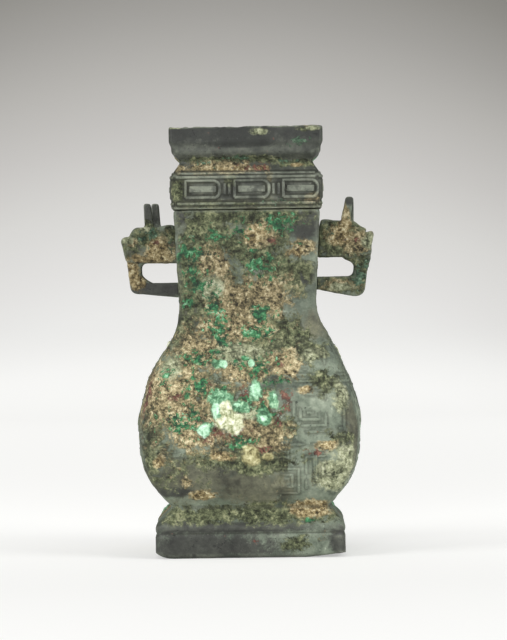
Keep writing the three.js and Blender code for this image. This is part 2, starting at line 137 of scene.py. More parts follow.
LID_SPOTS = {
    "dusk": [Spot(0, 326, 90, 6), Spot(-66, 345, 12, 14)],
    "dark": [Spot(0, 397, 160, 13), Spot(-14, 343, 5, 10), Spot(30, 343, 4, 10), Spot(0, 385, 40, 4)],
    "olive_crust": [
        Spot(-8, 369, 54, 4), Spot(-64, 342, 8, 16), Spot(0, 327, 66, 3), Spot(58, 398, 12, 3),
        Spot(44, 365, 20, 4), Spot(-15, 350, 5, 8),
    ],
    "tan_crust": [Spot(-22, 362, 36, 6), Spot(21, 354, 4, 7), Spot(-60, 360, 6, 5), Spot(61, 333, 6, 4)],
    "gold_crust": [
        Spot(46, 364, 7, 2), Spot(60, 400, 8, 1.6), Spot(-14, 359, 22, 3), Spot(16, 361, 8, 3),
    ],
    "pale_crust": [Spot(13, 395, 9, 3), Spot(62, 398, 8, 2.4), Spot(-68, 399, 9, 1.4)],
    "malachite": [
        Spot(41, 367, 12, 3), Spot(-9, 371, 18, 3), Spot(50, 386, 10, 5), Spot(30, 330, 14, 3),
        Spot(-40, 366, 12, 3),
    ],
    "cuprite": [Spot(8, 362, 14, 4)],
    "cream": [Spot(57, 341, 3, 1.4)],
}
RIGHT_HANDLE_SPOTS = {
    "dusk": [Spot(80, 285, 20, 6)],
    "dark": [Spot(80, 284, 8, 4), Spot(97, 331, 6, 5), Spot(-95, 322, 10, 14, "back")],
    "olive_crust": [Spot(95, 290, 44, 24), Spot(92, 251, 30, 10), Spot(110, 268, 10, 22)],
    "tan_crust": [
        Spot(104, 290, 18, 12), Spot(90, 251, 20, 5), Spot(92, 316, 4, 9), Spot(-95, 311, 5, 7, "back"),
    ],
    "gold_crust": [Spot(87, 297, 13, 9), Spot(92, 306, 6, 6)],
    "pale_crust": [Spot(114, 292, 6, 8), Spot(90, 249, 14, 4)],
    "malachite": [Spot(104, 258, 9, 15), Spot(112, 272, 7, 9), Spot(78, 299, 7, 5)],
    "cuprite": [Spot(98, 293, 6, 2.4)],
}
LEFT_HANDLE_SPOTS = {
    "dusk": [Spot(-74, 302, 12, 5), Spot(-104, 284, 12, 8), Spot(-69, 292, 7, 16)],
    "dark": [
        Spot(-86, 248, 32, 7), Spot(-90, 320, 12, 14), Spot(-104, 288, 6, 6), Spot(86, 318, 14, 15, "back"),
        Spot(-66, 296, 6, 12),
    ],
    "olive_crust": [Spot(-96, 296, 24, 14), Spot(-72, 300, 10, 10)],
    "tan_crust": [Spot(-80, 286, 13, 14), Spot(-92, 279, 13, 5), Spot(-108, 294, 7, 4.4)],
    "gold_crust": [
        Spot(-109, 266, 8, 12), Spot(-104, 256, 7, 8), Spot(-86, 284, 12, 11), Spot(-100, 278, 9, 5),
    ],
    "pale_crust": [Spot(-112, 296, 6, 4), Spot(-96, 305, 6, 3)],
    "malachite": [Spot(-91, 301, 9, 6), Spot(-99, 296, 8, 6), Spot(-72, 292, 5, 8)],
    "cuprite": [Spot(-85, 292, 4, 3)],
}
FINISHES = list(BODY_SPOTS)


def deselect():
    bpy.ops.object.select_all(action="DESELECT")


def pick(piece):
    """Makes this the one selected and active object."""
    deselect()
    piece.select_set(True)
    bpy.context.view_layer.objects.active = piece
    return piece


def keep(piece, modifier):
    """Applies a modifier to the piece's mesh."""
    pick(piece)
    bpy.ops.object.modifier_apply(modifier=modifier.name)


def cast_copy(node, name):
    """A merged copy of a solid, to be worked on by itself."""
    piece = bpy.data.objects.new(name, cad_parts[node].data.copy())
    bpy.context.scene.collection.objects.link(piece)
    piece.data.materials.clear()
    pick(piece)
    bpy.ops.object.mode_set(mode="EDIT")
    bpy.ops.mesh.select_all(action="SELECT")
    bpy.ops.mesh.remove_doubles(threshold=MERGE_DISTANCE)
    bpy.ops.object.mode_set(mode="OBJECT")
    return piece


def even_out(piece, rounds):
    """Draws each point halfway towards its neighbours, this many times."""
    smooth = piece.modifiers.new("Even", "SMOOTH")
    smooth.factor = 0.5
    smooth.iterations = rounds
    keep(piece, smooth)


def regrain(piece, size, rounds):
    """Gives the piece an even skin of small faces and evens out its facets."""
    remesh = piece.modifiers.new("Skin", "REMESH")
    remesh.mode = "VOXEL"
    remesh.voxel_size = size
    remesh.use_smooth_shade = True
    keep(piece, remesh)
    even_out(piece, rounds)


def thin_inside(piece):
    """Uses fewer faces on the inner walls, which are hardly seen."""
    inwards = (points_of(piece)[:, :2] * normals_of(piece)[:, :2]).sum(axis=1) < 0
    group = piece.vertex_groups.new(name="inside")
    group.add(np.flatnonzero(inwards).tolist(), 1.0, "REPLACE")
    thin = piece.modifiers.new("Thin", "DECIMATE")
    thin.ratio = INSIDE_THINNING
    thin.vertex_group = group.name
    keep(piece, thin)
    piece.vertex_groups.clear()


def points_of(piece):
    points = np.empty(len(piece.data.vertices) * 3)
    piece.data.vertices.foreach_get("co", points)
    return points.reshape(-1, 3)


def normals_of(piece):
    normals = np.empty(len(piece.data.vertices) * 3)
    piece.data.vertex_normals.foreach_get("vector", normals)
    return normals.reshape(-1, 3)


def set_points(piece, points):
    piece.data.vertices.foreach_set("co", points.ravel())
    piece.data.update()


# How much weaker and finer each octave of lumps is than the one before, and how far apart in the
# noise two seeds lie
LUMP_FADING = 0.9
LUMP_FINENESS = 2.1
SEED_STEP = Vector((31.7, 17.3, 11.9))


def lumps(points, size, octaves, seed):
    """Smooth noise from about -1 to 1, whose lumps are about this many millimetres across."""
    places = [Vector(point) / (size * MM) + SEED_STEP * seed for point in points]
    return np.array([noise.fractal(place, LUMP_FADING, LUMP_FINENESS, octaves) for place in places])


def outwards(side):
    """Which way a side of the jar faces, and which way runs across it from left to right."""
    turn = math.radians(SIDES[side])
    facing = np.array((math.sin(turn), -math.cos(turn), 0.0))
    along = np.array((math.cos(turn), math.sin(turn), 0.0))
    return facing, along


# How squarely metal has to face a side for a spot of that side to sit on it, and how many
# millimetres further away all other metal counts
FACING_SIDE = 0.3
OTHER_METAL = 1000


def patches(piece, spots):
    """Each finish's spots as middles on the surface of the piece, with their sizes."""
    points = points_of(piece) / MM
    normals = normals_of(piece)
    found = {}
    for finish in FINISHES:
        found[finish] = []
        for spot in spots.get(finish, []):
            facing, along = outwards(spot.side)
            off = np.hypot(points @ along - spot.across, points[:, 2] - spot.up)
            on_side = (normals @ facing > FACING_SIDE) & (points @ facing > 0)
            off += np.where(on_side, 0, OTHER_METAL)
            found[finish].append((points[np.argmin(off)], spot.half_width, spot.half_height))
    return found


def nearness(points, places):
    """How deep inside its nearest patch each point lies: 1 in the middle, 0 at the edge."""
    best = np.full(len(points), -1.0)
    for middle, half_width, half_height in places:
        apart = points / MM - middle
        level = np.hypot(apart[:, 0], apart[:, 1]) / half_width
        best = np.maximum(best, 1 - np.hypot(level, apart[:, 2] / half_height))
    return best


# The patches on the sides that face away: how many of each finish lie on a side, and the smallest
# and largest half width that they have on the belly, in millimetres
SCATTERED = {
    "dusk": (4, 20, 44),
    "dark": (3, 16, 40),
    "olive_crust": (8, 14, 40),
    "tan_crust": (8, 12, 36),
    "gold_crust": (4, 5, 16),
    "pale_crust": (4, 8, 20),
    "malachite": (10, 8, 22),
    "cuprite": (4, 4, 12),
    "verdigris": (3, 6, 14),
    "mint": (1, 3, 6),
    "cream": (1, 5, 12),
    "ochre": (1, 5, 12),
}
# Which stretch of a side they lie on, as shares of its half width: the rear half of the narrow
# sides, whose front half belongs to the patches in front
SCATTER_SPANS = {"right": (0.1, 0.8), "back": (-1.0, 1.0), "left": (-0.8, -0.1)}
# The least height of such a patch, as a share of its width
FLATTEST = 0.5
BELLY_HALF_WIDTH = 90


def scattered(low, high, half_width, seed):
    """Spots for the three sides that face away, as thick on the metal as those in front."""
    draw = random.Random(seed)
    spots = {}
    for finish, (count, smallest, largest) in SCATTERED.items():
        spots[finish] = []
        for side, (first, last) in SCATTER_SPANS.items():
            for _ in range(count):
                size = draw.uniform(smallest, largest) * half_width / BELLY_HALF_WIDTH
                across = draw.uniform(first, last) * half_width
                up = draw.uniform(low, high)
                spots[finish].append(Spot(across, up, size, size * draw.uniform(FLATTEST, 1.0), side))
    return spots


def store(piece, name, values):
    """Keeps a number for each point of the piece, for its material to read."""
    layer = piece.data.attributes.new(name, "FLOAT", "POINT")
    layer.data.foreach_set("value", np.asarray(values, dtype=np.float32))


def weather(piece, places):
    """Stores on the piece's points how near they lie to each finish, and returns it."""
    points = points_of(piece)
    zones = {finish: nearness(points, places[finish]) for finish in FINISHES}
    for finish, values in zones.items():
        store(piece, finish, values)
    return zones


# How often the metal is evened out to find what stands proud of it
EDGE_ROUNDS = 14


def mark_edges(piece):
    """Stores how far each point stands proud of its smoothed surroundings, in millimetres."""
    points = points_of(piece)
    normals = normals_of(piece)
    even_out(piece, EDGE_ROUNDS)
    proud = ((points - points_of(piece)) * normals).sum(axis=1) / MM
    set_points(piece, points)
    store(piece, "edge", proud)


# How wide the swells, clumps and grains of corroded metal are, in millimetres
SWELL_SIZE = 34
CLUMP_SIZE = 9
GRAIN_SIZE = 4.2
# How far crusts grow out from a patch's edge, and how gently crusts and malachite rise there
CREEP = 0.2
CRUST_EDGE = 0.5
MALACHITE_EDGE = 0.6
# How high crusts, malachite and chunks stand, and how deep cuprite lies, in millimetres
CRUST_RISE = 0.3
MALACHITE_RISE = 0.2
CHUNK_RISE = 1.8
CUPRITE_DEPTH = 0.3
# How steeply chunks rise from their edge, how high olive crusts stand beside tan ones, and
# verdigris beside the other chunks
CHUNK_STEEPNESS = 1.6
OLIVE_SHARE = 0.7
VERDIGRIS_SHARE = 0.8
# How deep the lid and the handles are corroded, where the vessel is 1
LID_CORROSION = 0.6
HANDLE_CORROSION = 0.9


def corrode(piece, zones, seed, depth=1.0):
    """Raises crusts and chunks, and leaves the smooth metal slightly uneven."""
    points = points_of(piece)
    normals = normals_of(piece)
    swells = lumps(points, SWELL_SIZE, 3, seed)
    clumps = lumps(points, CLUMP_SIZE, 4, seed + 1)
    grains = lumps(points, GRAIN_SIZE, 2, seed + 2)

    def cover(finish, edge):
        return np.clip((zones[finish] + 0.35 * clumps) / edge + CREEP, 0, 1)

    crust = np.maximum(cover("tan_crust", CRUST_EDGE), OLIVE_SHARE * cover("olive_crust", CRUST_EDGE))
    crust = np.maximum(crust, cover("gold_crust", CRUST_EDGE))
    rise = 0.3 * swells + 0.06 * clumps
    rise += crust * (CRUST_RISE + 0.45 * clumps + 0.3 * grains)
    rise += cover("malachite", MALACHITE_EDGE) * (MALACHITE_RISE + 0.5 * grains)
    chunks = np.maximum(np.maximum(zones["cream"], zones["mint"]), zones["ochre"])
    chunks = np.maximum(chunks, VERDIGRIS_SHARE * zones["verdigris"])
    rounded = np.sqrt(np.clip(chunks * CHUNK_STEEPNESS + 0.1 * clumps, 0, 1))
    rise += rounded * (CHUNK_RISE + 0.8 * grains)
    rise -= cover("cuprite", CRUST_EDGE) * CUPRITE_DEPTH
    set_points(piece, points + normals * (rise * depth * MM)[:, None])


def hex_colour(code):
    """A screen colour such as 8f8e68 as the linear colour that a shader takes."""
    channels = [int(code[start:start + 2], 16) / 255 for start in (0, 2, 4)]
    linear = [c / 12.92 if c <= 0.04045 else ((c + 0.055) / 1.055) ** 2.4 for c in channels]
    return (*linear, 1.0)


class Value:
    """A number or colour that varies over a surface, whose sums add the nodes that they need."""

    def __init__(self, finish, socket):
        self.finish = finish
        self.socket = socket

    def calculate(self, operation, *values):
        return self.finish.node("ShaderNodeMath", {"operation": operation}, dict(enumerate(values)))

    def __add__(self, other):
        return self.calculate("ADD", self, other)

    __radd__ = __add__

    def __sub__(self, other):
        return self.calculate("SUBTRACT", self, other)

    def __rsub__(self, other):
        return self.calculate("SUBTRACT", other, self)

    def __mul__(self, other):
        return self.calculate("MULTIPLY", self, other)

    __rmul__ = __mul__

    def between(self, low, high):
        """Rises smoothly from 0 at low to 1 at high."""
        settings = {"interpolation_type": "SMOOTHSTEP"}
        return self.finish.node(
            "ShaderNodeMapRange", settings, {"Value": self, "From Min": low, "From Max": high})


class Coat(NamedTuple):
    """One layer of finish: its colour, its roughness, and its height in millimetres."""

    colour: Value
    rough: object
    height: Value


class Finish:
    """A node material, built from the surface upwards."""

    def __init__(self, name):
        self.material = bpy.data.materials.new(name)
        self.material.use_nodes = True
        self.tree = self.material.node_tree
        self.shader = self.tree.nodes["Principled BSDF"]
        centre = self.node("ShaderNodeTexCoord", output="Object")
        scale = {0: centre, 1: (1 / MM, 1 / MM, 1 / MM)}
        self.place = self.node("ShaderNodeVectorMath", {"operation": "MULTIPLY"}, scale)

    def node(self, kind, settings=None, inputs=None, output=0):
        """Adds a node with its settings and the values or links of its sockets."""
        node = self.tree.nodes.new(kind)
        for name, setting in (settings or {}).items():
            if name == "stops":
                self.set_stops(node.color_ramp, setting)
            else:
                setattr(node, name, setting)
        for name, given in (inputs or {}).items():
            if isinstance(given, Value):
                self.tree.links.new(given.socket, node.inputs[name])
            else:
                node.inputs[name].default_value = given
        return Value(self, node.outputs[output])

    @staticmethod
    def set_stops(ramp, stops):
        for _ in range(len(stops) - len(ramp.elements)):
            ramp.elements.new(0.5)
        for element, (position, colour) in zip(ramp.elements, stops):
            element.position = position
            element.color = hex_colour(colour)

    def noise(self, size, detail, rough, warp=0.0):
        """Cloudy noise from 0 to 1, whose clouds are about half this many millimetres across."""
        settings = {"noise_dimensions": "3D"}
        inputs = {"Vector": self.place, "Scale": 1 / size, "Detail": detail,
                  "Roughness": rough, "Distortion": warp}
        return self.node("ShaderNodeTexNoise", settings, inputs)

    def ramp(self, amount, *stops):
        """A colour for each amount: stops are pairs of a position and a colour code."""
        return self.node("ShaderNodeValToRGB", {"stops": stops}, {"Fac": amount}, "Color")

    def blend(self, share, low, high):
        """Two numbers or values mixed by share."""
        return low + share * (high - low)

    def cover(self, share, under, over):
        """Lays one coat over another where share is 1."""
        return Coat(
            self.colour_mix(share, under.colour, over.colour),
            self.blend(share, under.rough, over.rough),
            self.blend(share, under.height, over.height),
        )

    def colour_mix(self, share, low, high):
        node = self.tree.nodes.new("ShaderNodeMix")
        node.data_type = "RGBA"
        colours = [socket for socket in node.inputs if socket.type == "RGBA"]
        self.tree.links.new(share.socket, node.inputs["Factor"])
        self.tree.links.new(low.socket, colours[0])
        self.tree.links.new(high.socket, colours[1])
        out = [socket for socket in node.outputs if socket.type == "RGBA"][0]
        return Value(self, out)

    def dim(self, colour, share):
        """A colour with only this share of its brightness."""
        return self.node("ShaderNodeVectorMath", {"operation": "SCALE"}, {0: colour, "Scale": share})

    def zone(self, name):
        """How near each point lies to a finish."""
        return self.node("ShaderNodeAttribute", {"attribute_name": name}, output="Fac")

    def finish(self, coat, bump):
        """Joins the top coat to the shader, as a mineral skin that hides all metal."""
        height = {"Height": coat.height, "Strength": bump, "Distance": MM}
        normal = self.node("ShaderNodeBump", {}, height)
        for name, value in (("Base Color", coat.colour), ("Roughness", coat.rough), ("Normal", normal)):
            self.tree.links.new(value.socket, self.shader.inputs[name])
        self.shader.inputs["Metallic"].default_value = 0.0
        return self.material


def swing(*layers):
    """Noises added round a half, each with its weight."""
    total = 0.5
    for noise_value, weight in layers:
        total = total + (noise_value - 0.5) * weight
    return total


def smooth_bronze(finish, tones, rough):
    """Bare metal under a thin even patina: faintly clouded, with small pits and pale specks."""
    clouds = finish.noise(34, detail=6, rough=0.6, warp=0.4)
    fine = finish.noise(6, detail=5, rough=0.7)
    pits = finish.noise(4.2, detail=3, rough=0.6).between(0.36, 0.28)
    specks = finish.noise(5.3, detail=3, rough=0.6).between(0.66, 0.74)
    colour = finish.ramp(swing((clouds, 1.1), (fine, 0.8)) - pits * 0.25 + specks * 0.4, *tones)
    height = fine * 0.5 - pits * 0.25 + clouds * 0.3
    return Coat(colour, rough + 0.25 * fine, height)


def granular_crust(finish, tones, size, height):
    """Mineral grown over the metal in grains and clumps, with pale flecks and dark gaps."""
    grains = finish.noise(size, detail=4, rough=0.75)
    clumps = finish.noise(size * 3.4, detail=5, rough=0.65, warp=0.5)
    clouds = finish.noise(46, detail=3, rough=0.55)
    flecks = finish.noise(size * 1.3, detail=2, rough=0.6, warp=0.8).between(0.55, 0.68)
    gaps = finish.noise(size * 1.7, detail=3, rough=0.7).between(0.45, 0.34)
    tone = swing((grains, 2.0), (clumps, 0.9), (clouds, 0.5)) + flecks * 0.26 - gaps * 0.24
    colour = finish.ramp(tone, *tones)
    relief = (grains * 0.8 + clumps * 1.6 + flecks * 0.5 - gaps * 0.8) * height
    return Coat(colour, 0.85 + 0.1 * grains, relief)


def mineral(finish, tones, size, height, rough):
    """A compact mineral such as malachite, in clouded lumps."""
    clouds = finish.noise(size, detail=6, rough=0.65, warp=0.6)
    fine = finish.noise(size / 3, detail=4, rough=0.7)
    colour = finish.ramp(swing((clouds, 2.0), (fine, 1.3)), *tones)
    return Coat(colour, rough + 0.2 * fine, clouds * height * 2 + fine * height)


# The tones of each finish: where in its clouds from 0 to 1 each lies, and its colour on a screen
SMOOTH_GREY = [(0.25, "464e43"), (0.45, "6e7968"), (0.6, "858f7d"), (0.8, "a2ab97")]
SMOOTH_LID = [(0.25, "343831"), (0.45, "4d5148"), (0.6, "62665b"), (0.8, "7e8274")]
DUSK = [(0.25, "38382e"), (0.45, "575848"), (0.6, "6a6b58"), (0.8, "89896f")]
PALE = [(0.15, "3c4030"), (0.35, "686c53"), (0.5, "898e70"), (0.65, "a3a786"), (0.9, "c9cbad")]
WORN_AND_HIGHLIT = [(0.25, "6a7163"), (0.5, "939a88"), (0.8, "b4baa6")]
GRIME_AND_SHADE = [(0.25, "1d1e18"), (0.5, "2e3027"), (0.8, "484a3c")]
LID_DARK = [(0.25, "20221e"), (0.5, "2e312c"), (0.7, "3c3f39"), (0.9, "575b52")]
SMOOTH_DARK = [(0.25, "262723"), (0.5, "393b35"), (0.7, "4a4d45"), (0.9, "666960")]
OLIVE = [(0.2, "272a1d"), (0.4, "454a34"), (0.55, "5a6046"), (0.7, "747a59"), (0.9, "9a9c78")]
TAN = [(0.15, "302c20"), (0.35, "605840"), (0.5, "897e5d"), (0.65, "a89974"), (0.9, "ded3ad")]
GOLD = [(0.15, "3c3422"), (0.35, "6d6043"), (0.5, "92825b"), (0.65, "b3a279"), (0.9, "e0d6b0")]
MALACHITE = [(0.2, "102c1c"), (0.4, "1e4d30"), (0.58, "347648"), (0.75, "599c6b"), (0.95, "a8d6b2")]
DULL_GREEN = [(0.2, "1d2c20"), (0.4, "344a38"), (0.58, "4c6a50"), (0.75, "6d8a70"), (0.95, "a3bda2")]
CUPRITE = [(0.2, "2a1613"), (0.45, "502f29"), (0.65, "74483e"), (0.85, "9a6c5b")]
CREAM = [(0.15, "747d56"), (0.4, "b2b78e"), (0.6, "dcdebe"), (0.85, "f8faea")]
OCHRE = [(0.15, "645f3e"), (0.4, "9a9468"), (0.6, "bbb587"), (0.85, "dcd8ae")]
VERDIGRIS = [(0.15, "2c5238"), (0.4, "4b7c56"), (0.6, "6fa27c"), (0.85, "b4dcb4")]
MINT = [(0.15, "6a9a72"), (0.4, "9ccfa8"), (0.6, "bde6c6"), (0.85, "e2fbe8")]
CORE_CLAY = [(0.3, "4a3628"), (0.5, "7d5f48"), (0.7, "a5866a")]

# How ragged the patches of each finish are, and how soft their edges are
PATCH_EDGES = {
    "dusk": (1.8, 0.4),
    "dark": (1.6, 0.35),
    "olive_crust": (2.6, 0.3),
    "tan_crust": (2.4, 0.25),
    "gold_crust": (1.6, 0.25),
    "pale_crust": (1.8, 0.3),
    "malachite": (4.0, 0.2),
    "cuprite": (4.0, 0.3),
    "verdigris": (1.6, 0.2),
    "mint": (1.2, 0.2),
    "cream": (1.5, 0.2),
    "ochre": (1.5, 0.2),
}
# How much smaller than they are drawn the patches of these two come out
CUPRITE_SHRUNK = 0.34
MALACHITE_SHRUNK = 0.6
# How fully cuprite hides what lies under it, how fully grime with painted shade darkens hollows, and,
# at the least, how fully painted shade darkens the grooves beside raised lines
CUPRITE_COVER = 0.9
HOLLOW_COVER = 0.55
GROOVE_COVER = 0.25
# How far an edge stands proud of its smoothed surroundings where its wear and painted highlight set in
# and where they are full, in millimetres; hollows that sink as far take grime and painted shade
EDGE_MARK_START = 0.12
EDGE_MARK_FULL = 0.48
# How much darker the neck with all above it and the foot are than the belly, and how much painted
# shade darkens the foot's lowest edge where it meets the floor, with the heights in millimetres where
# that sets in and where it is full
DARKER = [(0.28, 170, 250), (0.12, 70, 40), (0.4, 5, 1)]
PATINA_SHEEN = 0.42


def bronze_patina(name, tones, dark_tones, greens, rough, wear_and_shading):
    """Bronze with a smooth patina under crusts, malachite, red cuprite and chalky chunks."""
    finish = Finish(name)
    ragged = finish.noise(16, detail=8, rough=0.7, warp=0.6)
    flecks = finish.noise(6, detail=5, rough=0.75, warp=0.3)
    broad = finish.noise(60, detail=4, rough=0.6, warp=0.4)
    torn = swing((broad, 0.8), (ragged, 1.2), (flecks, 0.9))
    flecked = swing((ragged, 0.8), (flecks, 1.5))

    def share(zone, broken, shrunk=0.0):
        """Where a finish lies: 1 inside its patches and 0 outside them, with broken edges."""
        raggedness, softness = PATCH_EDGES[zone]
        reach = finish.zone(zone) + (broken - 0.5) * raggedness - shrunk
        return reach.between(-softness, softness)

    coat = smooth_bronze(finish, tones, rough)
    crusts = {
        "dusk": smooth_bronze(finish, DUSK, rough=0.55),
        "dark": smooth_bronze(finish, dark_tones, rough=0.36),
        "olive_crust": granular_crust(finish, OLIVE, size=4.4, height=0.5),
        "tan_crust": granular_crust(finish, TAN, size=3.8, height=0.6),
        "gold_crust": granular_crust(finish, GOLD, size=3.8, height=0.6),
        "pale_crust": granular_crust(finish, PALE, size=4.2, height=0.5),
    }
    for zone, crust in crusts.items():
        coat = finish.cover(share(zone, torn), coat, crust)

    edge = finish.zone("edge")
    hollow = edge.between(-EDGE_MARK_START, -EDGE_MARK_FULL)
    # Convex edges and the tops of raised lines are worn bare and carry a painted highlight.
    worn = (edge.between(EDGE_MARK_START, EDGE_MARK_FULL) + finish.zone("worn")) * ragged.between(0.38, 0.58)
    # Hollows take grime and painted shade, and the grooves beside raised lines take painted shade.
    grime_and_shade = smooth_bronze(finish, GRIME_AND_SHADE, rough=0.7)
    coat = finish.cover(finish.zone("groove") * (GROOVE_COVER + (1 - GROOVE_COVER) * wear_and_shading), coat, grime_and_shade)
    coat = finish.cover(hollow * HOLLOW_COVER, coat, grime_and_shade)
    coat = finish.cover(worn * wear_and_shading, coat, smooth_bronze(finish, WORN_AND_HIGHLIT, rough=0.35))

    red = mineral(finish, CUPRITE, size=6, height=0.3, rough=0.7)
    green = mineral(finish, greens, size=8, height=0.5, rough=0.55)
    stray = finish.zone("tan_crust").between(-0.6, 0.3) * flecked.between(0.7, 0.78)
    coat = finish.cover(share("cuprite", flecked, CUPRITE_SHRUNK) * CUPRITE_COVER, coat, red)
    coat = finish.cover(stray, coat, green)
    coat = finish.cover(share("malachite", flecked, MALACHITE_SHRUNK), coat, green)
    chunks = {
        "verdigris": mineral(finish, VERDIGRIS, size=8, height=0.5, rough=0.5),
        "mint": mineral(finish, MINT, size=8, height=0.4, rough=0.55),
        "cream": mineral(finish, CREAM, size=9, height=0.5, rough=0.8),
        "ochre": mineral(finish, OCHRE, size=7, height=0.5, rough=0.8),
    }
    for zone, chunk in chunks.items():
        coat = finish.cover(share(zone, torn), coat, chunk)

    up = finish.node("ShaderNodeSeparateXYZ", {}, {"Vector": finish.place}, "Z")
    # The last of these darkens the foot's lowest edge as painted shade where it meets the floor.
    bright = 1.0
    for darker, start, full in DARKER:
        bright = bright - up.between(start, full) * darker
    coat = coat._replace(colour=finish.dim(coat.colour, bright))
    finish.shader.inputs["Specular IOR Level"].default_value = PATINA_SHEEN
    return finish.finish(coat, bump=1.0)


def fired_clay():
    """Brown core clay with coarse grains."""
    finish = Finish("fired_clay")
    return finish.finish(granular_crust(finish, CORE_CLAY, size=3, height=0.3), bump=0.8)


def dress(piece, body, node, material):
    """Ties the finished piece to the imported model."""
    piece.data.materials.clear()
    piece.data.materials.append(material)
    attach(piece, body)
    if node:
        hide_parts(node)


def merged(first, second):
    """The spots of both, finish by finish."""
    return {finish: first.get(finish, []) + second.get(finish, []) for finish in FINISHES}


class Push(NamedTuple):
    """A soft shove, seen from the front: its middle, its reach and its shift in millimetres."""

    across: float
    up: float
    reach: float
    shift_across: float
    shift_up: float


def shove(piece, pushes):
    """Moves the metal round the middle of each push, less and less towards its reach."""
    points = points_of(piece)
    for push in pushes:
        apart = np.hypot(points[:, 0] / MM - push.across, points[:, 2] / MM - push.up) / push.reach
        share = np.clip(1 - apart ** 2, 0, 1) ** 2 * MM
        points[:, 0] += share * push.shift_across
        points[:, 2] += share * push.shift_up
    set_points(piece, points)


def swell(piece, up, half_height, amount):
    """Moves the outer walls out at a height, or in where the amount is negative."""
    points = points_of(piece)
    normals = normals_of(piece)
    across, back, height = points.T / MM
    outside = normals[:, 0] * across + normals[:, 1] * back > 0
    rise = amount * np.exp(-(((height - up) / half_height) ** 2)) * outside
    points += normals * (1, 1, 0) * (rise * MM)[:, None]
    set_points(piece, points)


# The step round the foot: how high it lies, how tall and how deep it is, in millimetres
STEP_UP = 23
STEP_HALF_HEIGHT = 1.7
STEP_DEPTH = 1.0
# The front of the foot's lower edge is chipped from here to its right end, and rounded by wear
# from here to its left end
CHIP_FROM = 50
CHIP_LENGTH = 38
CHIP_HEIGHT = 5.2
CHIP_UNEVEN = 0.8
CHIP_LUMP_SIZE = 8
ROUNDED_FROM = -66
ROUNDED_LENGTH = 22
ROUNDED_HEIGHT = 7
# Where the casting bulges or sinks a little, and so isn't quite the same left and right
VESSEL_PUSHES = [
    Push(-76, 203, 36, 2.8, 0), Push(-102, 145, 24, 2.4, 0), Push(76, 203, 22, 2.2, 0),
    Push(103, 147, 22, -1.2, 0), Push(80, 47, 9, 2.8, 0),
]


def wear_foot(piece):
    """Cuts the step round the foot, and wears both ends of its lower edge."""
    swell(piece, STEP_UP, STEP_HALF_HEIGHT, -STEP_DEPTH)
    points = points_of(piece)
    across, back, up = points.T / MM
    chipped = np.clip((across - CHIP_FROM) / CHIP_LENGTH, 0, 1)
    rounded = np.clip((ROUNDED_FROM - across) / ROUNDED_LENGTH, 0, 1) ** 3
    forwards = np.clip(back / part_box("vessel_body")[0].y * MM, 0, 1)
    chip = CHIP_HEIGHT + CHIP_UNEVEN * lumps(points, CHIP_LUMP_SIZE, 3, seed=41)
    lift = chip * chipped * forwards
    lift += ROUNDED_HEIGHT * rounded * forwards
    low = up < lift
    points[low, 2] = lift[low] * MM
    set_points(piece, points)


def vessel(material):
    """The body of the jar: foot, belly, neck and mouth in one casting."""
    piece = cast_copy("vessel_body", "cast_vessel")
    regrain(piece, BODY_GRAIN, rounds=4)
    thin_inside(piece)
    shove(piece, VESSEL_PUSHES)
    wear_foot(piece)
    mark_edges(piece)
    low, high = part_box("vessel_body")
    behind = scattered(low.z / MM, high.z / MM, BELLY_HALF_WIDTH, seed=6)
    places = patches(piece, merged(BODY_SPOTS, behind))
    corrode(piece, weather(piece, places), seed=2)
    dress(piece, "vessel", "vessel_body", material)
    return piece, places


# How deep the crown's rim is worn, and over what height, in millimetres
RIM_WEAR = 1.6
RIM_WEAR_HEIGHT = 5
# The crown's lower corner stands out round it: how high it lies, how tall it is and how far out
CORNER_UP = 375.5
CORNER_HALF_HEIGHT = 4.5
CORNER_SWELL = 3.6
# How wide the rim's dips are, and how much they run together
DIP_SIZE = 11
DIP_MORE = 0.1
# The patches of its sides that face away lie from this far over the lid's lowest edge up to this
# height, as on a side of this half width
PLUG_BARE = 10
WAIST_TOP = 372
WAIST_HALF_WIDTH = 58


def wear_rim(piece):
    """Small dips and chips along the top of the crown."""
    points = points_of(piece)
    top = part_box("lid")[1].z
    height = np.clip(1 - (top - points[:, 2]) / (RIM_WEAR_HEIGHT * MM), 0, 1)
    dips = np.clip(lumps(points * (1, 1, 0), DIP_SIZE, 4, seed=23) + DIP_MORE, 0, 1)
    points[:, 2] -= height * dips * RIM_WEAR * MM
    set_points(piece, points)


def lid(material):
    """The lid: band, waist and crown over the plug that sits in the mouth."""
    piece = cast_copy("lid", "cast_lid")
    regrain(piece, LID_GRAIN, rounds=2)
    swell(piece, CORNER_UP, CORNER_HALF_HEIGHT, CORNER_SWELL)
    wear_rim(piece)
    mark_edges(piece)
    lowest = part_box("lid")[0].z / MM
    behind = scattered(lowest + PLUG_BARE, WAIST_TOP, WAIST_HALF_WIDTH, seed=9)
    places = patches(piece, merged(LID_SPOTS, behind))
    corrode(piece, weather(piece, places), seed=7, depth=LID_CORROSION)
    dress(piece, "lid", "lid", material)
    return piece, places


# The handles' heads, in millimetres from the jar's middle and down from the head's top
HORN_HEIGHT = 22.5
CURL = (113.5, 13.5)
CURL_RADIUS = 5.2
CURL_LENGTH = 35
EYE = (99, 12)
EYE_RADIUS = 4.2
EYE_SHAPE = (1.1, 0.55, 0.9)
BROW = (96, 4.5)
BROW_LENGTH = 20
BROW_RADIUS = 2
BROW_SLOPE = 0.16
BROW_SUNK = 0.6
HEAD_HALF_WIDTH = 17

# How far each handle's bar is off level: at its root, and how much more at the end of the droop's
# span further out, past which it goes on a little
DROOP = {"right": (1.4, -5.7), "left": (-0.3, 2.9)}
DROOP_START = 67
DROOP_SPAN = 28
DROOP_PAST = 1.15
BAR_TOP = 13.5
# Over what height the metal round a horn's root is shifted with it
HORN_ROOT = 6
